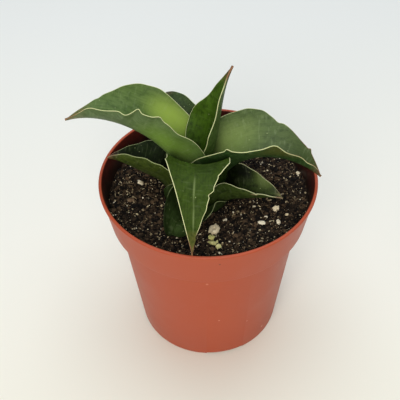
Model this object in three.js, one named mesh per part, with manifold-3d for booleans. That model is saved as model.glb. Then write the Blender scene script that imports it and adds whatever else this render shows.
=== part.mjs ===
// Potted blue kew snake plant: a rosette of channelled leaves in a thin round nursery pot.
// Millimetres, +Z up. The origin is the middle of the flat disc under the pot.
import * as THREE from 'three';
import { mergeVertices } from 'three/addons/utils/BufferGeometryUtils.js';
import Module from 'manifold-3d';

const wasm = await Module();
wasm.setup();

const { degToRad, lerp, smoothstep } = THREE.MathUtils;

// Gap kept between pieces that touch, and where the soil lies against the pot's sloping wall
const SEAT_GAP = 0.3;
const SIDE_GAP = 0.4;

// Pot: a moulded body that tapers to its foot, with a stepped collar and a small lip
const POT = {
  height: 94,
  lipRadius: 51,
  lipHeight: 1.6,
  lipRound: 0.4,
  collarTopRadius: 50.3,
  collarFootRadius: 47.4,
  collarHeight: 20.4,
  stepHeight: 1.8,
  stepDrop: 1.4,
  stepRound: 0.8,
  bodyTopRadius: 43.8,
  footRadius: 36.5,
  footRound: 1.3,
  lipThick: 1.1,
  wall: 1.2,
  floorTop: 3.6,
  segments: 48,
};

// Underside of the pot: a flat centre disc, a raised groove with holes, and a notched foot ring
const BASE = {
  discRadius: 9,
  grooveInner: 10.5,
  grooveOuter: 27,
  ringInner: 28.5,
  grooveHeight: 2.2,
  holeRadius: 3.5,
  holeRing: 19,
  holes: 8,
  holeSides: 16,
  notchWidth: 19,
  notchHeight: 1.4,
  notchInner: 26,
  notches: 4,
  notchAngle: -78,
};

// Soil: its level, the size of its relief, and the room left round the leaf bases
const SOIL = {
  level: 83,
  rings: 14,
  relief: 0.55,
  fineRelief: 0.3,
  wallDip: 0.8,
  dipStart: 38,
  dipEnd: 48,
  slotGap: 0.5,
};

// The largest perlite grains, half sunk in the soil: x, y, length, width and turn in degrees
const GRAINS = [
  [2.6, -24.7, 5.8, 4.6, 70],
  [1.5, -30.2, 2.8, 2.2, 20],
  [3.4, -34.4, 2.4, 1.9, 150],
  [24.3, -22.1, 3.8, 2.0, 10],
  [31.4, -20.6, 2.9, 2.1, 80],
  [31.3, -12.5, 3.4, 2.5, 35],
  [-32.8, 7.0, 3.4, 2.8, 120],
  [-36.0, -5.6, 3.8, 2.4, 5],
  [43.2, 12.0, 2.4, 1.9, 40],
  [-36.5, 21.0, 2.6, 2.2, 60],
];
const GRAIN = { height: 0.75, sink: 0.3 };

// Crown: the short buried stem that carries every leaf base
const CROWN = {
  x: -4.5,
  y: 5,
  top: 77.7,
  topRadius: 17.6,
  rimHeight: 2.5,
  waistRadius: 11,
  waistDepth: 7,
  tailRadius: 5,
  tailDepth: 13,
  coreRadius: 13.7,
  segments: 32,
};

// Blade: thickness at the root, body, tip and margins, and where its section changes
const BLADE = {
  rootThick: 1.3,
  bodyThick: 1.9,
  tipThick: 1.1,
  marginThick: 0.7,
  marginPower: 2.2,
  thickFrom: 0.12,
  thickAt: 0.4,
  tipHalfWidth: 0.35,
  rootBelow: 3,
  curlStation: 0.4,
  foldStation: 0.35,
  swingStation: 0.45,
  stations: 22,
  columns: 8,
};

// Leaves, from the innermost out. Lengths are in mm, angles in degrees, stations from 0 to 1.
// ring: radius at which the base stands round the crown; azimuth: the side it grows from
// swing: turn of the blade from there; lean: rise of the midrib at root, thirds and tip
// clasp: half angle of the crown that the base wraps; curl and fold: rolled and creased section
// widest: station of the full width; shoulder: roundness of the outline there; blunt: its end
// wave: height and count of the ripples along the margins
const LEAVES = [
  {
    name: 'leaf_upright', ring: 3.4, azimuth: 39, swing: -1.5, lean: [86.5, 74.5, 79.5, 53.5],
    length: 66.8, halfWidth: 14.9, clasp: 150, widest: 0.57, shoulder: 0.13, blunt: 0.66,
    curl: [55, 14.5], fold: 23.5, twist: -30, wave: [0.25, 5], colour: '#4d7437',
  },
  {
    name: 'leaf_left', ring: 6.1, azimuth: 180, swing: 2, lean: [90.5, 60.7, 28, -18.5],
    length: 81.1, halfWidth: 24.3, clasp: 146, widest: 0.61, shoulder: 0.25, blunt: 0.89,
    curl: [89, 43], fold: 3, twist: 25.5, wave: [0.25, 6], colour: '#6d8c48',
  },
  {
    name: 'leaf_right', ring: 8.8, azimuth: -15, swing: 2.5, lean: [86.5, 49.5, -1.5, -40.5],
    length: 68.3, halfWidth: 23.9, clasp: 134, widest: 0.48, shoulder: 0.08, blunt: 0.98,
    curl: [33.5, 64], fold: 28.5, twist: -14.5, wave: [0.25, 6], colour: '#66824f',
  },
  {
    name: 'leaf_front', ring: 11.4, azimuth: -91, swing: -3, lean: [72, 67.5, -19, -72],
    length: 86.5, halfWidth: 15.1, clasp: 78, widest: 0.52, shoulder: 0.2, blunt: 0.51,
    curl: [39, 23], fold: 0.5, twist: -6.5, wave: [0.2, 7], colour: '#46602f',
  },
  {
    name: 'leaf_back', ring: 11.4, azimuth: 103.5, swing: 6, lean: [87.5, 43, 29, -40.5],
    length: 51.2, halfWidth: 14.8, clasp: 74.5, widest: 0.35, shoulder: 0.43, blunt: 0.99,
    curl: [48, 15], fold: 13.5, twist: 4, wave: [0.3, 5], colour: '#33452a',
  },
  {
    name: 'leaf_lower_left', ring: 14, azimuth: 174.5, swing: 3, lean: [91, 35, 32.5, 3.5],
    length: 37.3, halfWidth: 17.9, clasp: 43, widest: 0.36, shoulder: 0.58, blunt: 1,
    curl: [23, 28], fold: 34, twist: 30, wave: [0.3, 5], colour: '#33472a',
  },
  {
    name: 'leaf_lower_right', ring: 14, azimuth: -29, swing: 9, lean: [72, 21.5, 18, -7],
    length: 31.9, halfWidth: 17.2, clasp: 67, widest: 0.29, shoulder: 0.36, blunt: 0.99,
    curl: [45.5, 1], fold: 40, twist: 3.5, wave: [0.3, 5], colour: '#31482c',
  },
  {
    name: 'leaf_lowest', ring: 16.4, azimuth: -104, swing: -12.5, lean: [69, 31, 18, -80],
    length: 24.2, halfWidth: 15.5, clasp: 69, widest: 0.48, shoulder: 0.9, blunt: 3,
    curl: [29, 60], fold: 32.5, twist: -28.5, wave: [0.2, 4], colour: '#2f4a2a',
  },
];

// Finishes of the pot, the soil and the buried stem
const FINISH = {
  pot: { color: '#b4603f', roughness: 0.5, metalness: 0 },
  soil: { color: '#2a2119', roughness: 0.95, metalness: 0 },
  crown: { color: '#8d8a5c', roughness: 0.8, metalness: 0 },
  leaf: { roughness: 0.55, metalness: 0 },
};

// A closed geometry as a solid that can be joined and cut
function toSolid(geometry) {
  const bare = new THREE.BufferGeometry();
  bare.setAttribute('position', geometry.getAttribute('position'));
  bare.setIndex(geometry.index);
  const merged = mergeVertices(bare, 1e-4);
  const triVerts = [];
  for (let i = 0; i < merged.index.count; i += 3) {
    const [a, b, c] = [0, 1, 2].map((k) => merged.index.getX(i + k));
    if (a !== b && b !== c && c !== a) triVerts.push(a, b, c);
  }
  const vertProperties = new Float32Array(merged.getAttribute('position').array);
  return new wasm.Manifold(new wasm.Mesh({
    numProp: 3, vertProperties, triVerts: new Uint32Array(triVerts),
  }));
}

// The largest body of a solid: loose scraps that a cut leaves are dropped
function largestBody(solid) {
  const bodies = solid.decompose();
  return bodies.reduce((best, body) => (body.volume() > best.volume() ? body : best));
}

function toMesh(solid, name, finish) {
  const { vertProperties, triVerts } = solid.getMesh();
  const geometry = new THREE.BufferGeometry();
  geometry.setAttribute('position', new THREE.BufferAttribute(new Float32Array(vertProperties), 3));
  geometry.setIndex(new THREE.BufferAttribute(new Uint32Array(triVerts), 1));
  geometry.computeVertexNormals();
  const mesh = new THREE.Mesh(geometry, new THREE.MeshStandardMaterial(finish));
  mesh.name = name;
  return mesh;
}

// A body of revolution about the Z axis from radius and height pairs, bottom to top
function turned(profile, segments) {
  const points = profile.map(([r, z]) => new THREE.Vector2(r, z));
  return new THREE.LatheGeometry(points, segments).rotateX(Math.PI / 2);
}

function placedCylinder(radius, z0, z1, x, y, sides) {
  const geometry = new THREE.CylinderGeometry(radius, radius, z1 - z0, sides);
  return geometry.rotateX(Math.PI / 2).translate(x, y, (z0 + z1) / 2);
}

// Inner face of the pot's wall, from the floor to the lip
function innerWall() {
  const collarFoot = POT.height - POT.collarHeight;
  const inset = POT.wall;
  return [
    [POT.footRadius - inset, POT.floorTop],
    [POT.bodyTopRadius - inset, collarFoot],
    [POT.collarFootRadius - inset, collarFoot + POT.stepHeight],
    [POT.collarTopRadius - inset, POT.height - POT.lipHeight],
  ];
}

function makePot() {
  const collarFoot = POT.height - POT.collarHeight;
  const lipBottom = POT.height - POT.lipHeight;
  const outer = [
    [0, 0],
    [BASE.discRadius, 0],
    [BASE.grooveInner, BASE.grooveHeight],
    [BASE.grooveOuter, BASE.grooveHeight],
    [BASE.ringInner, 0],
    [POT.footRadius - POT.footRound, 0],
    [POT.footRadius - POT.footRound * 0.25, POT.footRound * 0.3],
    [POT.footRadius, POT.footRound],
    [POT.bodyTopRadius, collarFoot - POT.stepDrop],
    [POT.collarFootRadius - POT.stepRound, collarFoot - POT.stepRound * 0.6],
    [POT.collarFootRadius, collarFoot + POT.stepRound * 0.4],
    [POT.collarTopRadius, lipBottom],
    [POT.lipRadius, lipBottom + POT.lipRound],
    [POT.lipRadius, POT.height - POT.lipRound],
    [POT.lipRadius - POT.lipRound, POT.height],
    [POT.lipRadius - POT.lipThick, POT.height],
    [POT.lipRadius - POT.lipThick - POT.lipRound, POT.height - POT.lipRound],
  ];
  const shell = toSolid(turned([...outer, ...innerWall().reverse(), [0, POT.floorTop]], POT.segments));
  const cuts = [];
  for (let i = 0; i < BASE.holes; i += 1) {
    const angle = (2 * Math.PI * (i + 0.5)) / BASE.holes;
    const [x, y] = [BASE.holeRing * Math.cos(angle), BASE.holeRing * Math.sin(angle)];
    cuts.push(placedCylinder(BASE.holeRadius, 0, POT.floorTop + 1, x, y, BASE.holeSides));
  }
  const reach = POT.bodyTopRadius;
  for (let i = 0; i < BASE.notches; i += 1) {
    const notch = new THREE.BoxGeometry(reach - BASE.notchInner, BASE.notchWidth, 2 * BASE.notchHeight);
    notch.translate((reach + BASE.notchInner) / 2, 0, 0);
    cuts.push(notch.rotateZ(degToRad(BASE.notchAngle) + (2 * Math.PI * i) / BASE.notches));
  }
  const body = cuts.reduce((solid, cut) => solid.subtract(toSolid(cut)), shell);
  return toMesh(body, 'pot', FINISH.pot);
}

// Height of the soil above its level: low swells, finer crumbs, and a dip along the wall
function soilRelief(x, y) {
  const swell = Math.sin(x * 0.16 + 1.1) * Math.cos(y * 0.13 - 0.4)
    + 0.6 * Math.sin(x * 0.07 - y * 0.21 + 2.3);
  const crumbs = Math.sin(x * 0.83 + y * 0.35) * Math.sin(y * 0.91 - x * 0.27 + 0.7);
  const wallNearness = smoothstep(Math.hypot(x, y), SOIL.dipStart, SOIL.dipEnd);
  return SOIL.relief * swell + SOIL.fineRelief * crumbs - SOIL.wallDip * wallNearness;
}

// Radius of the pot's inner face at a height within the collar
function collarInner(z) {
  const [, , foot, top] = innerWall();
  return lerp(foot[0], top[0], (z - foot[1]) / (top[1] - foot[1]));
}

function makeSoilBody() {
  const n = POT.segments;
  const positions = [0, 0, SOIL.level + soilRelief(0, 0)];
  const index = [];
  const ring = (radius, heightAt) => {
    for (let k = 0; k < n; k += 1) {
      const angle = -Math.PI / 2 + (2 * Math.PI * k) / n;
      const [x, y] = [radius * Math.cos(angle), radius * Math.sin(angle)];
      positions.push(x, y, heightAt(x, y));
    }
  };
  const surfaceAt = (x, y) => SOIL.level + soilRelief(x, y);
  const edgeRadius = collarInner(SOIL.level - 2 * SOIL.relief) - SEAT_GAP;
  for (let i = 1; i <= SOIL.rings; i += 1) ring((edgeRadius * i) / SOIL.rings, surfaceAt);
  const [floor, shoulder, collar] = innerWall();
  ring(collar[0] - SIDE_GAP, () => collar[1] + SEAT_GAP);
  ring(shoulder[0] - SIDE_GAP, () => shoulder[1] + SEAT_GAP);
  ring(floor[0] - SEAT_GAP, () => floor[1] + SEAT_GAP);
  const bottom = positions.length / 3;
  positions.push(0, 0, POT.floorTop + SEAT_GAP);
  for (let k = 0; k < n; k += 1) index.push(0, 1 + k, 1 + ((k + 1) % n));
  const rings = SOIL.rings + 3;
  for (let i = 0; i < rings - 1; i += 1) {
    for (let k = 0; k < n; k += 1) {
      const [a, b] = [1 + i * n + k, 1 + i * n + ((k + 1) % n)];
      index.push(a, a + n, b + n, a, b + n, b);
    }
  }
  const last = 1 + (rings - 1) * n;
  for (let k = 0; k < n; k += 1) index.push(bottom, last + ((k + 1) % n), last + k);
  const geometry = new THREE.BufferGeometry();
  geometry.setAttribute('position', new THREE.Float32BufferAttribute(positions, 3));
  geometry.setIndex(index);
  return toSolid(geometry);
}

function makeGrain([x, y, length, width, turn], order) {
  const geometry = new THREE.IcosahedronGeometry(0.5, 0);
  geometry.rotateX(order * 1.3).rotateY(order * 0.7);
  geometry.scale(length, width, width * GRAIN.height).rotateZ(degToRad(turn));
  const rise = SOIL.level + soilRelief(x, y) + width * GRAIN.height * (0.5 - GRAIN.sink);
  return toSolid(geometry.translate(x, y, rise));
}

function crownProfile(grow) {
  const { top, topRadius, rimHeight, waistRadius, waistDepth, tailRadius, tailDepth } = CROWN;
  return [
    [0, top - tailDepth - grow],
    [tailRadius + grow, top - tailDepth - grow],
    [waistRadius + grow, top - waistDepth],
    [topRadius + grow, top - rimHeight],
    [topRadius + grow, top + grow],
    [0, top + grow],
  ];
}

function makeCrownBody(grow) {
  return toSolid(turned(crownProfile(grow), CROWN.segments).translate(CROWN.x, CROWN.y, 0));
}

// Cubic through four values at 0, one third, two thirds and 1
function alongLeaf([a, b, c, d], s) {
  const t = 3 * s;
  return (-a * (t - 1) * (t - 2) * (t - 3)) / 6 + (b * t * (t - 2) * (t - 3)) / 2
    - (c * t * (t - 1) * (t - 3)) / 2 + (d * t * (t - 1) * (t - 2)) / 6;
}

// Half width of the blade: it widens from the clasping root, then tapers to the tip
function halfWidthAt(leaf, s) {
  const root = (degToRad(leaf.clasp) * leaf.ring) / leaf.halfWidth;
  if (s < leaf.widest) {
    return leaf.halfWidth * (root + (1 - root) * Math.sin((Math.PI / 2) * (s / leaf.widest)));
  }
  const x = (s - leaf.widest) / (1 - leaf.widest);
  const k = leaf.shoulder;
  const taper = (Math.hypot(x, k) - k) / (Math.hypot(1, k) - k);
  return Math.max(leaf.halfWidth * (1 - taper ** leaf.blunt), BLADE.tipHalfWidth);
}

// Turn of the rolled section from midrib to margin: quadratic through root, body and tip
function curlAt(leaf, s) {
  const m = BLADE.curlStation;
  return leaf.clasp * ((s - m) * (s - 1)) / m + leaf.curl[0] * (s * (s - 1)) / (m * (m - 1))
    + leaf.curl[1] * (s * (s - m)) / (1 - m);
}

function thicknessAt(s, u) {
  const m = BLADE.thickAt;
  const body = s < m
    ? lerp(BLADE.rootThick, BLADE.bodyThick, smoothstep(s, BLADE.thickFrom, m))
    : lerp(BLADE.bodyThick, BLADE.tipThick, (s - m) / (1 - m));
  return lerp(body, BLADE.marginThick, Math.abs(u) ** BLADE.marginPower);
}

// Frame of the midrib at a station: its point, and its lateral and upward directions
function midribFrames(leaf) {
  const count = BLADE.stations;
  const frames = [];
  const start = degToRad(leaf.azimuth);
  const point = new THREE.Vector3(
    CROWN.x + leaf.ring * Math.cos(start),
    CROWN.y + leaf.ring * Math.sin(start),
    CROWN.top + SEAT_GAP,
  );
  let before = null;
  for (let i = 0; i < count; i += 1) {
    const s = i / (count - 1);
    const rise = degToRad(alongLeaf(leaf.lean, s));
    const heading = start + degToRad(leaf.swing) * smoothstep(s, 0, BLADE.swingStation);
    const along = new THREE.Vector3(
      Math.cos(rise) * Math.cos(heading), Math.cos(rise) * Math.sin(heading), Math.sin(rise),
    );
    if (before) point.addScaledVector(before.clone().add(along), leaf.length / (count - 1) / 2);
    before = along;
    const across = new THREE.Vector3(-Math.sin(heading), Math.cos(heading), 0);
    const up = new THREE.Vector3().crossVectors(along, across);
    const roll = degToRad(leaf.twist * s);
    const lateral = across.clone().multiplyScalar(Math.cos(roll)).addScaledVector(up, Math.sin(roll));
    up.multiplyScalar(Math.cos(roll)).addScaledVector(across, -Math.sin(roll));
    frames.push({ s, point: point.clone(), along, lateral, up });
  }
  return frames;
}

// Middle surface of the blade as rows of points across it
function bladeRows(leaf, grow) {
  const frames = midribFrames(leaf);
  const first = frames[0];
  const below = first.point.clone().addScaledVector(first.along, -BLADE.rootBelow);
  const rows = [{ ...first, point: below }, ...frames];
  return rows.map(({ s, point, lateral, up }) => {
    const width = halfWidthAt(leaf, s) + grow;
    const fold = degToRad(leaf.fold) * smoothstep(s, 0, BLADE.foldStation);
    const curl = degToRad(curlAt(leaf, s));
    const row = [];
    for (let j = 0; j <= BLADE.columns; j += 1) {
      const u = (2 * j) / BLADE.columns - 1;
      const turn = fold + curl * Math.abs(u);
      const out = (width * Math.sign(u) * (Math.sin(turn) - Math.sin(fold))) / curl;
      const [height, count] = leaf.wave;
      const ripple = height * u * u * Math.sin(2 * Math.PI * count * s + (u > 0 ? 0.4 : 2.1))
        * smoothstep(s, 0.3, 0.5) * smoothstep(1 - s, 0, 0.2);
      const lift = (width * (Math.cos(fold) - Math.cos(turn))) / curl + ripple;
      row.push(point.clone().addScaledVector(lateral, out).addScaledVector(up, lift));
    }
    return { s, row };
  });
}

// A blade's solid: the middle surface with its thickness, both faces split alike
function makeBlade(leaf, grow = 0) {
  const rows = bladeRows(leaf, grow);
  const last = rows.length - 1;
  const columns = BLADE.columns;
  const positions = { top: [], bottom: [] };
  rows.forEach(({ s, row }, i) => {
    const ahead = rows[Math.min(i + 1, last)].row;
    const behind = rows[Math.max(i - 1, 0)].row;
    row.forEach((point, j) => {
      const along = ahead[j].clone().sub(behind[j]);
      const across = row[Math.min(j + 1, columns)].clone().sub(row[Math.max(j - 1, 0)]);
      const normal = along.cross(across).normalize();
      const half = thicknessAt(s, (2 * j) / columns - 1) / 2 + grow;
      positions.top.push(point.clone().addScaledVector(normal, half));
      positions.bottom.push(point.clone().addScaledVector(normal, -half));
    });
  });
  const wide = columns + 1;
  const offset = positions.top.length;
  const index = [];
  const quad = (a, b, c, d) => index.push(a, b, c, a, c, d);
  for (let i = 0; i < last; i += 1) {
    for (let j = 0; j < columns; j += 1) {
      const [a, b] = [i * wide + j, (i + 1) * wide + j];
      quad(a, b, b + 1, a + 1);
      index.push(offset + a, offset + b + 1, offset + b, offset + a, offset + a + 1, offset + b + 1);
    }
    const [near, far] = [i * wide, i * wide + columns];
    quad(near, offset + near, offset + near + wide, near + wide);
    quad(far, far + wide, offset + far + wide, offset + far);
  }
  for (let j = 0; j < columns; j += 1) {
    const end = last * wide + j;
    quad(j, j + 1, offset + j + 1, offset + j);
    quad(end, offset + end, offset + end + 1, end + 1);
  }
  const geometry = new THREE.BufferGeometry();
  const flat = [...positions.top, ...positions.bottom].flatMap((p) => [p.x, p.y, p.z]);
  geometry.setAttribute('position', new THREE.Float32BufferAttribute(flat, 3));
  geometry.setIndex(index);
  return toSolid(geometry);
}

// Everything below the crown's top, which a leaf base doesn't reach
function belowCrown(z) {
  const size = 4 * POT.lipRadius;
  return toSolid(new THREE.BoxGeometry(size, size, size).translate(0, 0, z - size / 2));
}

const leafSolids = [];
const grownSolids = [];
for (const leaf of LEAVES) {
  let solid = makeBlade(leaf).subtract(belowCrown(CROWN.top + SEAT_GAP));
  for (const inner of grownSolids) solid = solid.subtract(inner);
  leafSolids.push(largestBody(solid));
  grownSolids.push(makeBlade(leaf, SEAT_GAP));
}

function makeSoil() {
  let soil = makeSoilBody();
  GRAINS.forEach((grain, order) => {
    soil = soil.add(makeGrain(grain, order));
  });
  soil = soil.subtract(makeCrownBody(SEAT_GAP));
  const slotBottom = belowCrown(CROWN.top);
  for (const leaf of LEAVES) soil = soil.subtract(makeBlade(leaf, SOIL.slotGap).subtract(slotBottom));
  const core = placedCylinder(
    CROWN.coreRadius, CROWN.top, POT.height, CROWN.x, CROWN.y, CROWN.segments,
  );
  return toMesh(largestBody(soil.subtract(toSolid(core))), 'soil', FINISH.soil);
}

const plant = new THREE.Group();
plant.add(makePot(), makeSoil(), toMesh(makeCrownBody(0), 'crown', FINISH.crown));
LEAVES.forEach((leaf, i) => {
  plant.add(toMesh(leafSolids[i], leaf.name, { ...FINISH.leaf, color: leaf.colour }));
});

export default plant;
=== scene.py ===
"""Potted blue kew snake plant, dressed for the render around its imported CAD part.

Metres, +Z up, origin in the middle of the flat disc under the pot. Sizes in the classes are in
millimetres, as in the part's source, and MM turns them into metres.
"""
import logging
import math
import random
from dataclasses import dataclass, field, replace
from enum import Enum

import bpy
import numpy as np
from bpy.types import Camera, Light, Material, Mesh, Node, NodeSocket, NodeTree, Object
from mathutils import Matrix, Vector, noise
from mathutils.bvhtree import BVHTree


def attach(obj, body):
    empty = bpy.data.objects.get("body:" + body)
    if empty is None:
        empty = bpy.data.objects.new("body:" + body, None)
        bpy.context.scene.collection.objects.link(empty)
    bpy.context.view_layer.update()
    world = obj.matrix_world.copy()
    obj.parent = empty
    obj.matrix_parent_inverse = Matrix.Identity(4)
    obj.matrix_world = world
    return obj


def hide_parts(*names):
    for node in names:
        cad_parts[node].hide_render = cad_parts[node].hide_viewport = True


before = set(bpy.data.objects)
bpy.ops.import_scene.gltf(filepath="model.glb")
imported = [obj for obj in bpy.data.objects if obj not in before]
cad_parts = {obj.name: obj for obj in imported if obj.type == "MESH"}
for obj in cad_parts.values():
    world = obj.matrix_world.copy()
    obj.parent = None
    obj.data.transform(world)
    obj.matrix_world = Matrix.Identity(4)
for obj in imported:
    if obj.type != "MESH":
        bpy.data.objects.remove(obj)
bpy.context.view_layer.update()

MM = 0.001
log = logging.getLogger("potted_snake_plant")


# Helpers


def linear(code: str) -> tuple[float, float, float, float]:
    """Turns an sRGB hex colour into linear red, green, blue and alpha.

    Args:
        code: six hex digits, such as "b4603f".

    Returns:
        Linear RGBA with alpha 1.
    """
    parts = [int(code[i:i + 2], 16) / 255 for i in (0, 2, 4)]
    red, green, blue = (c / 12.92 if c <= 0.04045 else ((c + 0.055) / 1.055) ** 2.4 for c in parts)
    return red, green, blue, 1.0


def add_node(tree: NodeTree, kind: str, feeds: dict | None = None, **settings: object) -> Node:
    """Adds a node with its settings, its input values and its links.

    Args:
        tree: the material's or world's node tree.
        kind: the node type without its "ShaderNode" prefix.
        feeds: input name or number to a plain value, or to the socket that feeds it.
        settings: attributes set on the node.

    Returns:
        The new node.
    """
    node = tree.nodes.new("ShaderNode" + kind)
    for name, value in settings.items():
        setattr(node, name, value)
    for key, value in (feeds or {}).items():
        if isinstance(value, NodeSocket):
            tree.links.new(value, node.inputs[key])
        else:
            node.inputs[key].default_value = value
    return node


def new_material(name: str) -> tuple[Material, NodeTree, Node]:
    """Makes an empty node material.

    Args:
        name: the material's name.

    Returns:
        The material, its node tree and its output node.
    """
    material = bpy.data.materials.new(name)
    material.use_nodes = True
    material.node_tree.nodes.clear()
    return material, material.node_tree, add_node(material.node_tree, "OutputMaterial")


def compute(tree: NodeTree, operation: str, *values: object, **settings: object) -> NodeSocket:
    """Adds a math node on two or three values and gives its result."""
    return add_node(tree, "Math", dict(enumerate(values)), operation=operation, **settings).outputs[0]


def blend(tree: NodeTree, mask: NodeSocket, colour: object, other: object) -> NodeSocket:
    """Mixes a second colour over the first where the mask is 1, and gives the mixed colour."""
    return add_node(tree, "Mix", {0: mask, 6: colour, 7: other}, data_type="RGBA").outputs[2]


def rescale(
        tree: NodeTree, value: NodeSocket, low: float, high: float,
        start: float = 0.0, end: float = 1.0, soft: bool = False,
) -> NodeSocket:
    """Turns the range from low to high into start to end, and holds it beyond.

    Args:
        tree: the node tree.
        value: the socket to turn.
        low: where the result is start.
        high: where the result is end; it may be less than low.
        start: result at low.
        end: result at high.
        soft: eases in and out.

    Returns:
        The result's socket.
    """
    return add_node(
        tree, "MapRange", {0: value, 1: low, 2: high, 3: start, 4: end},
        interpolation_type="SMOOTHSTEP" if soft else "LINEAR").outputs[0]


def noise_field(
        tree: NodeTree, place: NodeSocket, scale: float | tuple[float, float, float],
        detail: float, roughness: float = 0.5,
) -> NodeSocket:
    """Adds noise over a place.

    Args:
        tree: the node tree.
        place: the position that the noise runs over.
        scale: even in all directions, or one number for each axis.
        detail: how many finer layers it has.
        roughness: how strong the finer layers are.

    Returns:
        The noise value's socket.
    """
    if isinstance(scale, tuple):
        place = add_node(tree, "Mapping", {"Vector": place, "Scale": scale}).outputs[0]
        scale = 1.0
    return add_node(
        tree, "TexNoise",
        {"Vector": place, "Scale": scale, "Detail": detail, "Roughness": roughness}).outputs[0]


def distance_of(tree: NodeTree, place: NodeSocket, middle: tuple[float, float, float]) -> NodeSocket:
    """Distance of a place from a middle."""
    return add_node(
        tree, "VectorMath", {0: place, 1: middle}, operation="DISTANCE").outputs["Value"]


def ramp(tree: NodeTree, value: NodeSocket, stops: list[tuple[float, str]]) -> NodeSocket:
    """Adds a colour ramp over a value.

    Args:
        tree: the node tree.
        value: the socket that runs along the ramp.
        stops: position and hex colour of each stop, in order.

    Returns:
        The ramp's colour.
    """
    node = add_node(tree, "ValToRGB", {0: value})
    elements = node.color_ramp.elements
    while len(elements) < len(stops):
        elements.new(1.0)
    for element, (position, code) in zip(elements, stops):
        element.position = position
        element.color = linear(code)
    return node.outputs["Color"]


def coat(
        tree: NodeTree, output: Node, relief: tuple[NodeSocket, float, float], feeds: dict,
) -> None:
    """Joins a surface with a fine relief to a material's output.

    Args:
        tree: the node tree.
        output: the material's output node.
        relief: the relief's height socket, its strength and its depth in metres.
        feeds: the surface's other inputs.
    """
    height, strength, depth = relief
    bump = add_node(tree, "Bump", {"Strength": strength, "Distance": depth, "Height": height})
    surface = add_node(tree, "BsdfPrincipled", {**feeds, "Normal": bump.outputs[0]})
    tree.links.new(surface.outputs[0], output.inputs["Surface"])


def deselect_all() -> None:
    """Leaves edit mode if it is on, and selects nothing."""
    if bpy.context.object and bpy.context.object.mode != "OBJECT":
        bpy.ops.object.mode_set(mode="OBJECT")
    bpy.ops.object.select_all(action="DESELECT")


def make_active(piece: Object) -> None:
    """Selects one piece alone and makes it active."""
    deselect_all()
    piece.select_set(True)
    bpy.context.view_layer.objects.active = piece


def add_object(name: str, data: Mesh | Camera | Light) -> Object:
    """Makes an object of the data and puts it in the scene."""
    piece = bpy.data.objects.new(name, data)
    bpy.context.scene.collection.objects.link(piece)
    return piece


def smooth(piece: Object, angle: float) -> None:
    """Shades a piece smooth but for edges sharper than the angle, in degrees."""
    make_active(piece)
    bpy.ops.object.shade_smooth_by_angle(angle=math.radians(angle))


def face_outwards(piece: Object) -> None:
    """Turns all faces of a closed piece outwards."""
    make_active(piece)
    bpy.ops.object.mode_set(mode="EDIT")
    bpy.ops.mesh.select_all(action="SELECT")
    bpy.ops.mesh.normals_make_consistent(inside=False)
    bpy.ops.object.mode_set(mode="OBJECT")


def apply_modifier(piece: Object, kind: str, **settings: object) -> None:
    """Adds a modifier with its settings and applies it.

    Args:
        piece: the object to change.
        kind: the modifier type.
        settings: attributes set on the modifier.
    """
    make_active(piece)
    modifier = piece.modifiers.new(kind.lower(), kind)
    for name, value in settings.items():
        setattr(modifier, name, value)
    bpy.ops.object.modifier_apply(modifier=modifier.name)


def points_of(mesh: Mesh) -> np.ndarray:
    """The mesh's vertex positions as an array of rows."""
    flat = np.zeros(len(mesh.vertices) * 3, np.float32)
    mesh.vertices.foreach_get("co", flat)
    return flat.reshape(-1, 3).astype(float)


def move_points(mesh: Mesh, points: np.ndarray) -> None:
    """Puts the mesh's vertices at new positions."""
    mesh.vertices.foreach_set("co", np.asarray(points, np.float32).ravel())
    mesh.update()


def smoothstep(value: np.ndarray | float, low: float, high: float) -> np.ndarray | float:
    """Smooth rise from 0 at low to 1 at high."""
    t = np.clip((value - low) / (high - low), 0, 1)
    return t * t * (3 - 2 * t)


def raise_rings(name: str, rings: list[tuple[float, float]], segments: int) -> Object:
    """Raises a closed round body from its bottom disc, extruding the edge ring by ring.

    Args:
        name: the piece's name.
        rings: radius and height of each ring in mm, from the bottom disc's edge to the last face.
        segments: points round each ring.

    Returns:
        The closed piece, out of edit mode.
    """
    deselect_all()
    radius, level = rings[0]
    bpy.ops.mesh.primitive_circle_add(
        vertices=segments, radius=radius * MM, fill_type="NGON", location=(0, 0, level * MM))
    piece = bpy.context.object
    bpy.ops.object.transform_apply(location=True, rotation=False, scale=False)
    piece.name = piece.data.name = name
    bpy.ops.object.mode_set(mode="EDIT")
    bpy.ops.mesh.select_all(action="SELECT")
    bpy.ops.mesh.select_mode(type="EDGE")
    for (r0, z0), (r1, z1) in zip(rings, rings[1:]):
        bpy.ops.mesh.extrude_edges_move(TRANSFORM_OT_translate={"value": (0, 0, (z1 - z0) * MM)})
        bpy.ops.transform.resize(value=(r1 / r0, r1 / r0, 1), center_override=(0, 0, z1 * MM))
    bpy.ops.mesh.edge_face_add()
    face_outwards(piece)
    return piece


def write_tones(mesh: Mesh, tones: np.ndarray | list[float]) -> None:
    """Stores one tone from dark 0 to light 1 at each vertex."""
    attribute = mesh.attributes.new("tone", "FLOAT", "POINT")
    attribute.data.foreach_set("value", np.asarray(tones, np.float32))


def finish_piece(piece: Object, slot: str, *nodes: str) -> Object:
    """Attaches a finished piece to the root body, hides the CAD nodes it stands for and logs its faces.

    Args:
        piece: the finished object.
        slot: not used.
        nodes: the CAD nodes that the piece replaces.

    Returns:
        The same object.
    """
    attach(piece, "root")
    if nodes:
        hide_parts(*nodes)
    log.info("%s: %d faces", piece.name, len(piece.data.polygons))
    return piece


# Finishes


@dataclass(frozen=True)
class Patch:
    """A soft oval of another colour on a blade, in mm along and across it from the root's midrib."""

    along: float
    across: float
    length: float
    width: float
    colour: str
    strength: float


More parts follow.
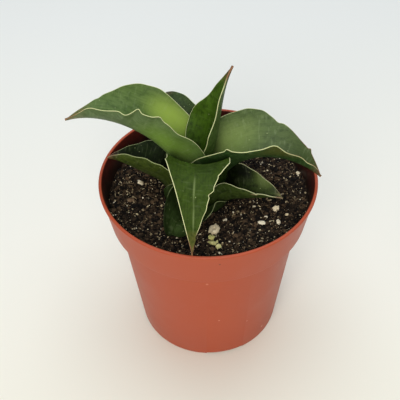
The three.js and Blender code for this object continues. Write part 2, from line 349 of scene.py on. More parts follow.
@dataclass(frozen=True)
class LeafSkin:
    """Skin of one face of a fleshy leaf: waxy cuticle over green tissue, with a horny margin.

    The cuticle gives a dull satin sheen. Fine lengthwise veins, paler cross marks and flecks
    break up the green, and the thin margin goes from cream-green to reddish brown at the tip.
    """

    root: str
    body: str
    tip: str
    light: str
    dark: str
    margin: str = "cdd29c"
    margin_tip: str = "94694c"
    margin_width: float = 0.16
    brown_from: float = 0.88
    roughness: float = 0.5
    cross_marks: float = 0.16
    mottling: float = 0.7
    sheen: float = 0.22
    patches: tuple[Patch, ...] = ()

    def material(self, name: str, length: float) -> Material:
        """Builds the skin's material.

        Args:
            name: the material's name.
            length: the blade's length in mm.

        Returns:
            The finished material.
        """
        material, tree, output = new_material(name)
        blade = add_node(tree, "Attribute", attribute_name="blade_mm").outputs["Vector"]
        along, _, edge = add_node(tree, "SeparateXYZ", {0: blade}).outputs
        station = compute(tree, "DIVIDE", along, length)
        green = ramp(tree, station, [
            (0.08, self.root), (0.4, self.body), (0.86, self.body), (0.985, self.tip)])
        dark = linear(self.dark)
        # Broad tone: cloudy areas 8 to 15 mm across
        cloud = noise_field(tree, blade, (0.07, 0.11, 0.0), 3.0)
        mask = rescale(tree, cloud, 0.35, 0.7, 0.0, 0.75, soft=True)
        colour = blend(tree, mask, green, linear(self.light))
        # Lengthwise veins about 0.8 mm apart, faint
        vein = noise_field(tree, blade, (0.035, 1.1, 0.0), 3.0)
        colour = blend(tree, rescale(tree, vein, 0.42, 0.72, 0.0, 0.42), colour, dark)
        # Mottling: darker blotches 1 to 3 mm across
        mottle = noise_field(tree, blade, (0.36, 0.5, 0.0), 5.0, 0.62)
        colour = blend(tree, rescale(tree, mottle, 0.46, 0.66, 0.0, self.mottling), colour, dark)
        # Patches: the blade's own paler and darker areas, and on some faces painted light and painted
        # shade
        for patch in self.patches:
            shifted = add_node(tree, "Mapping", {
                "Vector": blade, "Scale": (1 / patch.length, 1 / patch.width, 0.0),
                "Location": (-patch.along / patch.length, -patch.across / patch.width, 0.0)})
            reach = distance_of(tree, shifted.outputs[0], (0.0, 0.0, 0.0))
            mask = rescale(tree, reach, 1.0, 0.1, 0.0, patch.strength, soft=True)
            colour = blend(tree, mask, colour, linear(patch.colour))
        # Cross marks: broken paler dashes 2 to 5 mm long
        cross = noise_field(tree, blade, (0.95, 0.2, 0.0), 4.0)
        mask = rescale(tree, cross, 0.55, 0.75, 0.0, self.cross_marks)
        colour = blend(tree, mask, colour, linear("a9b98b"))
        # Flecks half a millimetre across, in one cell of six
        fleck = add_node(tree, "TexVoronoi", {"Vector": blade, "Scale": 0.42, "Randomness": 1.0})
        pick = add_node(tree, "SeparateXYZ", {0: fleck.outputs["Color"]}).outputs[0]
        mask = compute(
            tree, "MULTIPLY", rescale(tree, fleck.outputs["Distance"], 0.16, 0.08),
            rescale(tree, pick, 0.8, 0.86, 0.0, 0.5))
        colour = blend(tree, mask, colour, linear("b9c48c"))
        # Margin: a dark line just inside, then the pale or brown horny edge
        width = self.margin_width
        colour = blend(tree, rescale(tree, edge, 2.6 * width, 1.1 * width, 0.0, 0.35), colour, dark)
        wander = noise_field(tree, blade, 0.35, 2.0)
        aged = ramp(tree, compute(tree, "MULTIPLY_ADD", wander, 0.12, station), [
            (0.2, self.margin), (self.brown_from + 0.04, self.margin),
            (self.brown_from + 0.12, self.margin_tip)])
        colour = blend(tree, rescale(tree, edge, 1.25 * width, 0.85 * width), colour, aged)
        # Relief: veins, and the fine grain of the cuticle
        grain = noise_field(tree, blade, 1.6, 3.0)
        height = compute(tree, "MULTIPLY_ADD", grain, 0.35, vein)
        coat(tree, output, (height, 0.35, 0.25 * MM), {
            "Base Color": colour, "IOR": 1.45, "Specular IOR Level": self.sheen,
            "Roughness": rescale(
                tree, grain, 0.3, 0.7, self.roughness - 0.07, self.roughness + 0.09),
            "Subsurface Weight": 0.06, "Subsurface Radius": (0.5, 1.0, 0.25),
            "Subsurface Scale": 0.9 * MM})
        return material


@dataclass(frozen=True)
class Mark:
    """A small fleck on the pot's outer wall: azimuth in degrees, height and radius in mm."""

    azimuth: float
    height: float
    radius: float
    colour: str


@dataclass(frozen=True)
class MouldedPlastic:
    """Thin injection-moulded polypropylene, terracotta-coloured, with a satin skin.

    It shows a soft broad sheen, faint cloudy tone and a few handling marks. The inner slope is
    the height and radius in mm, low and high, of a line just outside the collar's inner wall.
    The dirt and painted shade inside start at the step and are darkest at the soil; heights are in mm.
    """

    colour: str = "ad4825"
    worn: str = "b5573a"
    # Dark colours inside the collar: soil dust with painted shade, darkest at the soil
    dust_and_shade_pale: str = "4c160d"
    dust_and_shade_mid: str = "2e1009"
    dust_and_shade_deep: str = "1d110b"
    inner_slope: tuple[tuple[float, float], tuple[float, float]] = ((74.0, 46.6), (92.4, 49.65))
    dirt_and_shade_from: float = 76.0
    dirt_and_shade_soil: float = 83.5
    dirt_and_shade_top: float = 92.5
    roughness: float = 0.46

    def material(self, marks: list[tuple[Mark, float]]) -> Material:
        """Builds the plastic.

        Args:
            marks: small flecks on the outer wall, each with the wall's radius there in mm.

        Returns:
            The finished material.
        """
        material, tree, output = new_material("moulded_terracotta_polypropylene")
        place = add_node(tree, "TexCoord").outputs["Object"]
        worn = linear(self.worn)
        cloud = noise_field(tree, place, 45.0, 3.0)
        colour = blend(tree, rescale(tree, cloud, 0.4, 0.7, 0.0, 0.35), linear(self.colour), worn)
        # Scuffs: short pale strokes round the pot, 2 to 4 mm long
        stroke = noise_field(tree, place, (260.0, 260.0, 900.0), 2.0)
        colour = blend(tree, rescale(tree, stroke, 0.68, 0.78, 0.0, 0.45), colour, worn)
        for mark, wall in marks:
            turn = math.radians(mark.azimuth)
            middle = (wall * MM * math.cos(turn), wall * MM * math.sin(turn), mark.height * MM)
            reach = distance_of(tree, place, middle)
            mask = rescale(tree, reach, mark.radius * MM, 0.5 * mark.radius * MM, 0.0, 0.7)
            colour = blend(tree, mask, colour, linear(mark.colour))
        # Inside the collar, soil dust and painted shade darken the wall, more so towards the soil
        x, y, z = add_node(tree, "SeparateXYZ", {0: place}).outputs
        radius = distance_of(
            tree, add_node(tree, "CombineXYZ", {0: x, 1: y}).outputs[0], (0.0, 0.0, 0.0))
        (z_low, r_low), (z_high, r_high) = self.inner_slope
        slope = rescale(tree, z, z_low * MM, z_high * MM, r_low * MM, r_high * MM)
        inside = compute(
            tree, "MULTIPLY",
            rescale(tree, compute(tree, "SUBTRACT", slope, radius), 0.0, 0.15 * MM),
            rescale(tree, z, self.dirt_and_shade_from * MM, (self.dirt_and_shade_from + 1.0) * MM))
        dust = noise_field(tree, place, 260.0, 5.0)
        nearness = rescale(tree, z, self.dirt_and_shade_top * MM, self.dirt_and_shade_soil * MM, -0.25, 0.5)
        dirt_and_shade_depth = compute(tree, "ADD", dust, nearness)
        dirt_and_shade_colour = ramp(tree, dirt_and_shade_depth, [(0.3, self.dust_and_shade_pale), (0.75, self.dust_and_shade_mid), (1.0, self.dust_and_shade_deep)])
        colour = blend(tree, inside, colour, dirt_and_shade_colour)
        coat(tree, output, (noise_field(tree, place, 900.0, 2.0), 0.12, 0.1 * MM), {
            "Base Color": colour, "IOR": 1.49, "Specular IOR Level": 0.45,
            "Roughness": rescale(
                tree, cloud, 0.3, 0.7, self.roughness - 0.05, self.roughness + 0.08),
            "Subsurface Weight": 0.1, "Subsurface Radius": (1.0, 0.3, 0.15),
            "Subsurface Scale": 1.2 * MM})
        return material


@dataclass(frozen=True)
class Crumbly:
    """A loose rough material of grains, each with its own tone, such as peat, bark or perlite.

    The higher the tone skew, the more grains are dark.
    """

    name: str
    dark: str
    light: str
    roughness: float = 0.95
    grit: float = 700.0
    relief: float = 0.5
    tone_skew: float = 2.2

    def material(self) -> Material:
        """Builds the material from each grain's tone and a fine grit."""
        material, tree, output = new_material(self.name)
        place = add_node(tree, "TexCoord").outputs["Object"]
        tone = add_node(tree, "Attribute", attribute_name="tone").outputs["Fac"]
        grit = noise_field(tree, place, self.grit, 5.0)
        mask = compute(tree, "ADD", tone, rescale(tree, grit, 0.3, 0.7, -0.3, 0.3), use_clamp=True)
        coat(tree, output, (grit, self.relief, 0.4 * MM), {
            "Base Color": blend(tree, mask, linear(self.dark), linear(self.light)),
            "Roughness": self.roughness, "Specular IOR Level": 0.25})
        return material


PEAT = Crumbly("crumbled_peat", "080504", "5a4835", tone_skew=2.4)
BARK = Crumbly("chipped_bark", "4a3626", "9c8468", grit=900.0)
GRIT = Crumbly("bark_and_sand_specks", "6e5c42", "d2c29c", grit=900.0, tone_skew=1.2)
PERLITE = Crumbly("expanded_perlite", "dccaa2", "fbf2d8", roughness=0.8, grit=1500.0, tone_skew=0.5)
ALGAE = Crumbly("algae_stained_perlite", "aeab52", "e8e4a2", roughness=0.8, grit=1500.0, tone_skew=0.5)
FIBRE = Crumbly("peat_fibre", "5a4630", "b09a78", roughness=0.85)
STEM = Crumbly("fibrous_buried_stem", "6f6b44", "a8a476", roughness=0.8)


# Pieces


class Side(Enum):
    """Margin of a leaf, as seen from above with the tip ahead."""

    LEFT = 1.0
    RIGHT = -1.0


@dataclass(frozen=True)
class Nick:
    """A kink of a margin: where it is, how far it spreads, and how far it moves the edge in mm."""

    side: Side
    station: float
    reach: float
    out: float = 0.0
    lift: float = 0.0


@dataclass
class Leaf:
    """A fleshy leaf: a blade with a rolled, folded section along a bent midrib.

    Lengths are in mm and angles in degrees. The sizes and the formulas are those of the CAD
    blade; the nicks, the thinner margins and the finish are added here.
    """

    name: str
    ring: float
    azimuth: float
    swing: float
    lean: tuple[float, float, float, float]
    length: float
    half_width: float
    clasp: float
    widest: float
    shoulder: float
    blunt: float
    curl: tuple[float, float]
    fold: float
    twist: float
    inner: LeafSkin
    outer: LeafSkin
    wave: tuple[float, float] = (0.3, 5.0)
    slot: str = "leaf_lower"
    nicks: tuple[Nick, ...] = ()
    crown: tuple[float, float, float] = (-4.5, 5.0, 78.0)
    thick: tuple[float, float, float] = (1.3, 1.9, 1.1)
    margin_thick: float = 0.42
    margin_round: float = 0.3
    thinning: float = 2.2
    body_from: float = 0.4
    stations: int = 200
    columns: int = 48

    def along(self, values: tuple[float, float, float, float], s: np.ndarray) -> np.ndarray:
        """Cubic through four values at 0, one third, two thirds and 1."""
        a, b, c, d = values
        t = 3 * s
        return (-a * (t - 1) * (t - 2) * (t - 3) / 6 + b * t * (t - 2) * (t - 3) / 2
                - c * t * (t - 1) * (t - 3) / 2 + d * t * (t - 1) * (t - 2) / 6)

    def half_width_at(self, s: np.ndarray) -> np.ndarray:
        """Half width of the blade: it widens from the clasping root, then tapers to the tip."""
        root = math.radians(self.clasp) * self.ring / self.half_width
        rise = root + (1 - root) * np.sin(math.pi / 2 * np.clip(s / self.widest, 0, 1))
        x = np.clip((s - self.widest) / (1 - self.widest), 0, 1)
        k = self.shoulder
        taper = np.clip((np.hypot(x, k) - k) / (math.hypot(1, k) - k), 0, 1)
        width = np.where(s < self.widest, rise, 1 - taper ** self.blunt)
        return np.maximum(self.half_width * width, 0.3)

    def curl_at(self, s: np.ndarray) -> np.ndarray:
        """Turn of the section from midrib to margin, in radians."""
        m = self.body_from
        turn = (self.clasp * (s - m) * (s - 1) / m + self.curl[0] * s * (s - 1) / (m * (m - 1))
                + self.curl[1] * s * (s - m) / (1 - m))
        return np.radians(np.maximum(turn, 0.5))

    def surface(self, s: np.ndarray, u: np.ndarray) -> tuple[np.ndarray, np.ndarray]:
        """Middle surface of the blade.

        Args:
            s: stations from root 0 to tip 1, evenly spaced.
            u: places across from the right margin -1 to the left margin 1.

        Returns:
            Points in mm, stations by columns by 3, and the half width at each station.
        """
        start = math.radians(self.azimuth)
        rise = np.radians(self.along(self.lean, s))
        heading = start + math.radians(self.swing) * smoothstep(s, 0, 0.45)
        level = np.cos(rise)
        ahead = np.stack([level * np.cos(heading), level * np.sin(heading), np.sin(rise)], -1)
        step = self.length / (len(s) - 1)
        midrib = np.cumsum(np.vstack([np.zeros(3), (ahead[1:] + ahead[:-1]) / 2 * step]), 0)
        x, y, z = self.crown
        midrib += (x + self.ring * math.cos(start), y + self.ring * math.sin(start), z)
        across = np.stack([-np.sin(heading), np.cos(heading), 0 * s], -1)
        up = np.cross(ahead, across)
        roll = np.radians(self.twist * s)[:, None]
        lateral = across * np.cos(roll) + up * np.sin(roll)
        up = up * np.cos(roll) - across * np.sin(roll)
        half = self.half_width_at(s)
        fold = math.radians(self.fold) * smoothstep(s, 0, 0.35)
        curl = self.curl_at(s)[:, None]
        turn = fold[:, None] + curl * np.abs(u)
        out = half[:, None] * np.sign(u) * (np.sin(turn) - np.sin(fold)[:, None]) / curl
        lift = half[:, None] * (np.cos(fold)[:, None] - np.cos(turn)) / curl
        height, count = self.wave
        phase = np.where(u > 0, 0.4, 2.1)
        fade = (smoothstep(s, 0.3, 0.5) * smoothstep(1 - s, 0, 0.2))[:, None]
        lift = lift + height * u * u * np.sin(2 * math.pi * count * s[:, None] + phase) * fade
        for nick in self.nicks:
            bell = np.exp(-(((s - nick.station) / nick.reach) ** 2))[:, None]
            near = smoothstep(u * nick.side.value, 0.55, 1.0) ** 1.5
            out = out + nick.out * nick.side.value * bell * near * np.cos(turn)
            lift = lift + (nick.lift + nick.out * np.sin(turn)) * bell * near
        points = (midrib[:, None, :] + lateral[:, None, :] * out[..., None]
                  + up[:, None, :] * lift[..., None])
        return points, half

    def build(self) -> Object:
        """Shapes a flat grid into the blade, gives it thickness and dresses it."""
        deselect_all()
        bpy.ops.mesh.primitive_grid_add(
            x_subdivisions=self.stations, y_subdivisions=self.columns, size=1.0)
        piece = bpy.context.object
        piece.name = piece.data.name = self.name + "_blade"
        flat = points_of(piece.data)
        station_of = np.rint((flat[:, 0] + 0.5) * self.stations).astype(int)
        column_of = np.rint((flat[:, 1] + 0.5) * self.columns).astype(int)
        s = np.linspace(0, 1, self.stations + 1)
        # Columns stand closer towards the margins, which are thin
        u = np.sin(math.pi / 2 * np.linspace(-1, 1, self.columns + 1))
        points, half = self.surface(s, u)
        move_points(piece.data, points[station_of, column_of] * MM)
        edge = (1 - np.abs(u[column_of])) * half[station_of]
        blade = np.stack([
            s[station_of] * self.length, u[column_of] * half[station_of], edge], -1)
        attribute = piece.data.attributes.new("blade_mm", "FLOAT_VECTOR", "POINT")
        attribute.data.foreach_set("vector", blade.astype(np.float32).ravel())
        self.thicken(piece, s[station_of], np.abs(u[column_of]), edge)
        skin = self.name + "_"
        piece.data.materials.append(self.inner.material(skin + "inner_skin", self.length))
        piece.data.materials.append(self.outer.material(skin + "outer_skin", self.length))
        apply_modifier(
            piece, "SOLIDIFY", thickness=max(self.thick) * MM, offset=0.0, vertex_group="thickness",
            use_even_offset=False, use_rim=True, material_offset=1, material_offset_rim=0)
        smooth(piece, angle=60)
        return finish_piece(piece, self.slot, self.name)

    def thicken(self, piece: Object, s: np.ndarray, u: np.ndarray, edge: np.ndarray) -> None:
        """Writes each point's share of the full thickness to a vertex group.

        Args:
            piece: the blade's object.
            s: station of each point.
            u: distance from the midrib of each point, as a share of the half width.
            edge: distance of each point from its margin, in mm.
        """
        root, body, tip = self.thick
        m = self.body_from
        middle = np.where(
            s < m, root + (body - root) * smoothstep(s, 0.12, m),
            body + (tip - body) * (s - m) / (1 - m))
        thick = middle + (self.margin_thick - middle) * u ** self.thinning
        inset = np.clip(edge / self.margin_round, 0, 1)
        rounding = np.sqrt(np.clip(1 - (1 - inset) ** 2, 0.1, 1))
        share = thick * rounding / max(self.thick)
        group = piece.vertex_groups.new(name="thickness")
        for index, weight in enumerate(share.tolist()):
            group.add((index,), weight, "REPLACE")


@dataclass
class Pot:
    """Round nursery pot of thin moulded plastic with a stepped collar; sizes in mm."""

    height: float = 94.0
    lip_radius: float = 51.0
    lip_height: float = 1.6
    collar_top: float = 50.3
    collar_foot: float = 47.4
    collar_height: float = 20.4
    body_top: float = 43.8
    foot: float = 36.5
    wall: float = 1.2
    floor_top: float = 3.6
    segments: int = 192
    holes: int = 8
    hole_ring: float = 19.0
    hole_radius: float = 3.5
    hole_points: int = 32
    hole_depth: float = 12.0
    notches: int = 4
    notch_angle: float = -78.0
    notch_width: float = 19.0
    notch_height: float = 1.4
    notch_ring: float = 35.0
    notch_depth: float = 18.0
    finish: MouldedPlastic = MouldedPlastic()
    marks: tuple[Mark, ...] = (
        Mark(-84.0, 34.0, 0.6, "d79a84"), Mark(-62.0, 26.0, 0.5, "d79a84"),
        Mark(-92.0, 67.0, 0.8, "c98069"), Mark(-121.0, 72.0, 0.9, "c98069"),
        Mark(-85.5, 88.2, 0.6, "3a1c14"), Mark(-43.0, 8.2, 0.7, "e6cbbd"))

    def profile(self) -> list[tuple[float, float]]:
        """Radius and height pairs from the disc's edge under the pot, up outside and down inside."""
        step = self.height - self.collar_height
        lip = self.height - self.lip_height
        inner = self.wall
        return [
            (9.0, 0.0), (10.5, 2.2), (27.0, 2.2), (28.5, 0.0), (35.2, 0.0), (35.9, 0.15),
            (36.3, 0.6), (self.foot, 1.3), (self.body_top, step - 1.4),
            (self.body_top + 0.5, step - 1.15), (45.6, step - 0.75), (46.6, step - 0.48),
            (47.1, step - 0.25), (47.35, step + 0.05), (self.collar_foot + 0.02, step + 0.4),
            (self.collar_top, lip), (50.75, lip + 0.1), (50.95, lip + 0.3),
            (self.lip_radius, lip + 0.6), (self.lip_radius, self.height - 0.45),
            (50.9, self.height - 0.2), (50.7, self.height - 0.05), (50.4, self.height),
            (50.1, self.height), (49.8, self.height - 0.06), (49.6, self.height - 0.25),
            (49.45, self.height - 0.6), (self.collar_top - inner, lip),
            (self.collar_foot - inner, step + 1.8), (self.body_top - inner, step),
            (self.foot - inner, self.floor_top), (20.0, self.floor_top)]

    def build(self) -> Object:
        """Raises the pot ring by ring from its bottom disc, then cuts its holes and notches."""
        piece = raise_rings("moulded_pot", self.profile(), self.segments)
        self.cut(piece)
        step = self.height - self.collar_height
        marks = [
            (mark, float(np.interp(
                mark.height, (0, step - 1.4, step, self.height),
                (self.foot, self.body_top, self.collar_foot, self.collar_top))))
            for mark in self.marks]
        piece.data.materials.append(self.finish.material(marks))
        smooth(piece, angle=32)
        return finish_piece(piece, "pot", "pot")

    def cut(self, piece: Object) -> None:
        """Cuts the drainage holes through the floor and the shallow notches in the foot ring.

        Args:
            piece: the pot before its holes are cut.
        """
        cutters = []
        for i in range(self.holes):
            turn = 2 * math.pi * (i + 0.5) / self.holes
            ring = self.hole_ring * MM
            bpy.ops.mesh.primitive_cylinder_add(
                vertices=self.hole_points, radius=self.hole_radius * MM, depth=self.hole_depth * MM,
                location=(ring * math.cos(turn), ring * math.sin(turn), 0))
            cutters.append(bpy.context.object)
        for i in range(self.notches):
            turn = math.radians(self.notch_angle) + 2 * math.pi * i / self.notches
            ring = self.notch_ring * MM
            bpy.ops.mesh.primitive_cube_add(
                size=1, location=(ring * math.cos(turn), ring * math.sin(turn), 0),
                rotation=(0, 0, turn), scale=(
                    self.notch_depth * MM, self.notch_width * MM, 2 * self.notch_height * MM))
            cutters.append(bpy.context.object)
        for cutter in cutters:
            apply_modifier(piece, "BOOLEAN", operation="DIFFERENCE", object=cutter, solver="EXACT")
            bpy.data.objects.remove(cutter, do_unlink=True)


def loose_piece(
        name: str, finish: Crumbly, points: np.ndarray | list, faces: np.ndarray | list,
        tones: np.ndarray | list[float],
) -> Object:
    """Makes one piece of many loose grains or strands.

    Args:
        name: the piece's name.
        finish: the finish of them all.
        points: their vertices in metres.
        faces: their faces.
        tones: a tone for each vertex.

    Returns:
        The new object.
    """
    mesh = bpy.data.meshes.new(name)
    mesh.from_pydata(points, [], faces)
    write_tones(mesh, tones)
    mesh.materials.append(finish.material())
    return add_object(name, mesh)


@dataclass(frozen=True)
class Litter:
    """Small loose grains strewn over the soil: how many, and their widths in mm.

    The small ones are the more common the higher the skew. The shapes are numbered from first.
    """

    name: str
    finish: Crumbly
    count: int
    low: float
    high: float
    skew: float
    rough: float
    levels: int
    first: int
    shapes: int


@dataclass(frozen=True)
class Grain:
    """One larger grain on the soil: place, length, width and turn, in mm and degrees."""

    x: float
    y: float
    length: float
    width: float
    turn: float
    finish: Crumbly = PERLITE


@dataclass
class Soil:
    """Peat and bark mix that fills the pot, with its crumbs, fibres and perlite; sizes in mm.

    Ranges are pairs of the least and the greatest value, and angles are in radians.
    """

    level: float = 83.0
    relief: float = 0.55
    fine_relief: float = 0.3
    wall_dip: float = 0.8
    dip_ring: tuple[float, float] = (38.0, 48.0)
    crumble: float = 0.35
    crumble_sink: float = 0.25
    edge_drop: float = 1.6
    edge: float = 48.3
    walls: tuple[tuple[float, float], ...] = ((35.0, 3.9), (42.2, 73.9), (45.8, 75.7))
    segments: int = 160
    rings: int = 60
    crown: tuple[float, float] = (-4.5, 5.0)
    core: float = 13.0
    wall_gap: float = 0.3
    leaf_gap: float = 0.3
    deepest_press: float = 4.0
    probe_from: float = 60.0
    probe_reach: float = 40.0
    grain_rough: float = 0.26
    grain_levels: int = 3
    grain_tilt: float = 0.5
    grain_lift: tuple[float, float] = (-0.05, 0.3)
    fibres: int = 150
    fibre_length: tuple[float, float] = (1.5, 5.0)
    fibre_radius: tuple[float, float] = (0.05, 0.11)
    fibre_bend: float = 1.4
    fibre_arch: tuple[float, float] = (0.1, 0.7)
    fibre_clear: float = 3.5
    fibre_rim: float = 4.0
    knots: int = 6
    sides: int = 3
    seed: int = 41
    litter: tuple[Litter, ...] = (
        Litter("peat_crumbs", PEAT, 1900, 0.9, 2.1, 2.4, 0.34, 2, 0, 6),
        Litter("peat_dust", PEAT, 7500, 0.4, 0.95, 1.5, 0.34, 1, 0, 6),
        Litter("perlite_specks", PERLITE, 400, 0.28, 1.0, 3.0, 0.2, 1, 10, 4),
        Litter("bark_specks", GRIT, 2700, 0.28, 1.0, 3.0, 0.2, 1, 10, 4))
    grains: tuple[Grain, ...] = (
        Grain(2.6, -24.7, 5.8, 4.4, 62), Grain(1.5, -29.8, 3.5, 2.9, 20, ALGAE),
        Grain(1.3, -33.0, 3.6, 2.8, 150, ALGAE), Grain(3.1, -32.0, 2.7, 2.2, 100, ALGAE),
        Grain(4.0, -35.4, 2.6, 2.3, 40, ALGAE), Grain(6.3, -10.5, 1.6, 1.3, 10),
        Grain(7.3, -18.9, 2.2, 1.4, 30), Grain(-12.3, -28.5, 2.0, 1.5, 70),
        Grain(24.3, -22.1, 4.0, 2.0, 8), Grain(31.6, -21.1, 2.9, 2.0, 78),
        Grain(31.3, -12.5, 3.5, 2.5, 35), Grain(26.4, -18.1, 2.4, 1.4, 15),
        Grain(21.4, -10.6, 1.8, 1.6, 0), Grain(-33.3, 7.6, 2.4, 2.0, 120),
        Grain(-32.0, 6.0, 2.3, 1.9, 60), Grain(-36.0, -5.6, 4.0, 2.0, 8, BARK),
        Grain(-44.3, -5.7, 1.5, 1.3, 0), Grain(44.6, 12.2, 2.5, 1.9, 40),
        Grain(18.7, -40.3, 2.2, 1.5, 25), Grain(-32.6, 31.8, 2.4, 2.0, 60),
        Grain(-36.5, 21.0, 2.2, 1.8, 60), Grain(15.0, -39.0, 1.6, 1.2, 0),
        Grain(11.0, -27.0, 1.3, 1.0, 50), Grain(36.0, -16.0, 1.6, 1.2, 20))
    blades: list[BVHTree] = field(default_factory=list)

    def height_at(self, x: np.ndarray | float, y: np.ndarray | float) -> np.ndarray | float:
        """Height of the soil's swells at a place, as in the CAD."""
        swell = (np.sin(x * 0.16 + 1.1) * np.cos(y * 0.13 - 0.4)
                 + 0.6 * np.sin(x * 0.07 - y * 0.21 + 2.3))
        fine = np.sin(x * 0.83 + y * 0.35) * np.sin(y * 0.91 - x * 0.27 + 0.7)
        return (self.level + self.relief * swell + self.fine_relief * fine
                - self.wall_dip * smoothstep(np.hypot(x, y), *self.dip_ring))

    def build(self, leaves: list[Object]) -> list[Object]:
        """Builds the soil body and everything that lies on it.

        Args:
            leaves: the finished blades, which press into the soil and keep grains off.

        Returns:
            The pieces made.
        """
        self.blades = [
            BVHTree.FromPolygons([v.co for v in leaf.data.vertices],
                                 [tuple(p.vertices) for p in leaf.data.polygons])
            for leaf in leaves]
        rng = random.Random(self.seed)
        pieces = [self.body()]
        for kind in self.litter:
            shapes = [self.crumb(kind.first + i, kind.rough, kind.levels) for i in range(kind.shapes)]
            places = [self.random_place(rng, kind.low, kind.high, kind.skew) for _ in range(kind.count)]
            pieces.append(self.scatter(kind.name, kind.finish, shapes, places, rng))
        for finish in (PERLITE, ALGAE, BARK):
            some = [g for g in self.grains if g.finish is finish]
            places = [(g.x, g.y, g.length, g.width, math.radians(g.turn)) for g in some]
            shapes = [self.crumb(30 + i, self.grain_rough, self.grain_levels) for i in range(5)]
            pieces.append(self.scatter(finish.name + "_grains", finish, shapes, places, rng))
        pieces.append(self.fibre_litter(rng))
        return pieces

    def body(self) -> Object:
        """Raises the soil from the pot's floor, closes it with rings and roughens its top."""
        tops = [(self.edge * i / self.rings, self.level) for i in range(self.rings - 1, 0, -1)]
        wall_top = (self.edge, self.level - self.edge_drop)
        piece = raise_rings("potting_soil", [*self.walls, wall_top, *tops], self.segments)
        points = points_of(piece.data) / MM
        top = points[:, 2] > self.level - 0.5
        tone = np.full(len(points), 0.25)
        for index in np.flatnonzero(top):
            x, y, _ = points[index]
            rough = noise.noise(Vector((x * 0.9, y * 0.9, 3.0))) + 0.5 * noise.noise(
                Vector((x * 2.1, y * 2.1, 7.0)))
            z = self.height_at(x, y) + self.crumble * rough - self.crumble_sink
            points[index, 2] = self.under_leaf(x, y, z)
            tone[index] = 0.1 + 0.25 * rough
        move_points(piece.data, points * MM)
        write_tones(piece.data, tone)
        piece.data.materials.append(PEAT.material())
        smooth(piece, angle=50)
        return finish_piece(piece, "soil", "soil")

    def under_leaf(self, x: float, y: float, z: float) -> float:
        """Keeps a soil height below any leaf that lies on it there.

        Args:
            x: place in mm.
            y: place in mm.
            z: the soil's height in mm.

        Returns:
            The height, lowered where a leaf presses on the soil.
        """
        if math.hypot(x - self.crown[0], y - self.crown[1]) < self.core:
            return z
        for tree in self.blades:
            start = Vector((x, y, self.probe_from)) * MM
            hit = tree.ray_cast(start, Vector((0, 0, 1)), self.probe_reach * MM)[0]
            if hit is not None and hit.z / MM < z + self.leaf_gap:
                z = max(hit.z / MM - self.leaf_gap, self.level - self.deepest_press)
        return z

    def crumb(self, number: int, rough: float, levels: int) -> tuple[np.ndarray, np.ndarray]:
        """Models one irregular grain of about unit size.

        Args:
            number: picks the grain's own shape.
            rough: how uneven it is.
            levels: how finely it is divided.

        Returns:
            Its points and its triangles.
        """
        deselect_all()
        bpy.ops.mesh.primitive_ico_sphere_add(subdivisions=levels, radius=0.5)
        ball = bpy.context.object
        points = points_of(ball.data)
        faces = np.array([tuple(p.vertices) for p in ball.data.polygons])
        for i, point in enumerate(points):
            at = Vector(point) * 2.2 + Vector((number * 5.3, 1.7, 0))
            points[i] = point * (1 + rough * 2 * noise.noise(at) + rough * noise.noise(at * 2.7))
        bpy.data.objects.remove(ball, do_unlink=True)
        return points, faces

    def random_place(
            self, rng: random.Random, low: float, high: float, skew: float,
    ) -> tuple[float, float, float, float, float]:
        """Picks a place on the soil outside the crown, a size and a turn.

        Args:
            rng: the seeded source of draws.
            low: least width in mm.
            high: greatest width in mm.
            skew: how much more common the small ones are.

        Returns:
            x, y, length, width and turn.
        """
        width = low + (high - low) * rng.random() ** skew
        length = width * (1 + 0.6 * rng.random())
        while True:
            radius = (self.edge - self.wall_gap - 0.55 * length) * math.sqrt(rng.random())
            turn = 2 * math.pi * rng.random()
            x, y = radius * math.cos(turn), radius * math.sin(turn)
            if math.hypot(x - self.crown[0], y - self.crown[1]) > self.core:
                break
        return x, y, length, width, 2 * math.pi * rng.random()

    def scatter(
            self, name: str, finish: Crumbly, shapes: list[tuple[np.ndarray, np.ndarray]],
            places: list[tuple[float, float, float, float, float]], rng: random.Random,
    ) -> Object:
        """Copies grain shapes to their places in one mesh.

        Args:
            name: the piece's name.
            finish: the grains' finish.
            shapes: points and triangles of each grain shape.
            places: x, y, length, width and turn of each copy.
            rng: the seeded source of draws.

        Returns:
            The finished piece.
        """
        all_points, all_faces, tones, count = [], [], [], 0
        for x, y, length, width, turn in places:
            points, faces = rng.choice(shapes)
            flat = 0.65 + 0.3 * rng.random()
            tilt = Matrix.Rotation(rng.uniform(-self.grain_tilt, self.grain_tilt), 3, "X")
            tilt = tilt @ Matrix.Rotation(rng.uniform(-self.grain_tilt, self.grain_tilt), 3, "Y")
            spin = Matrix.Rotation(turn, 3, "Z") @ tilt
            tone = rng.random() ** finish.tone_skew
            z = self.height_at(x, y) + width * flat * rng.uniform(*self.grain_lift)
            centre = Vector((x, y, z))
            if any(t.find_nearest(centre * MM, (0.55 * width + 0.5) * MM)[0] for t in self.blades):
                continue
            if self.under_leaf(x, y, z) < z - 0.05:
                continue
            placed = points * (length, width, width * flat) @ np.array(spin).T + np.array(centre)
            all_points.append(placed * MM)
            all_faces.append(faces + count)
            tones.append(np.full(len(points), tone))
            count += len(points)
        piece = loose_piece(
            name, finish, np.vstack(all_points), np.vstack(all_faces), np.concatenate(tones))
        smooth(piece, angle=40)
        return finish_piece(piece, "soil")

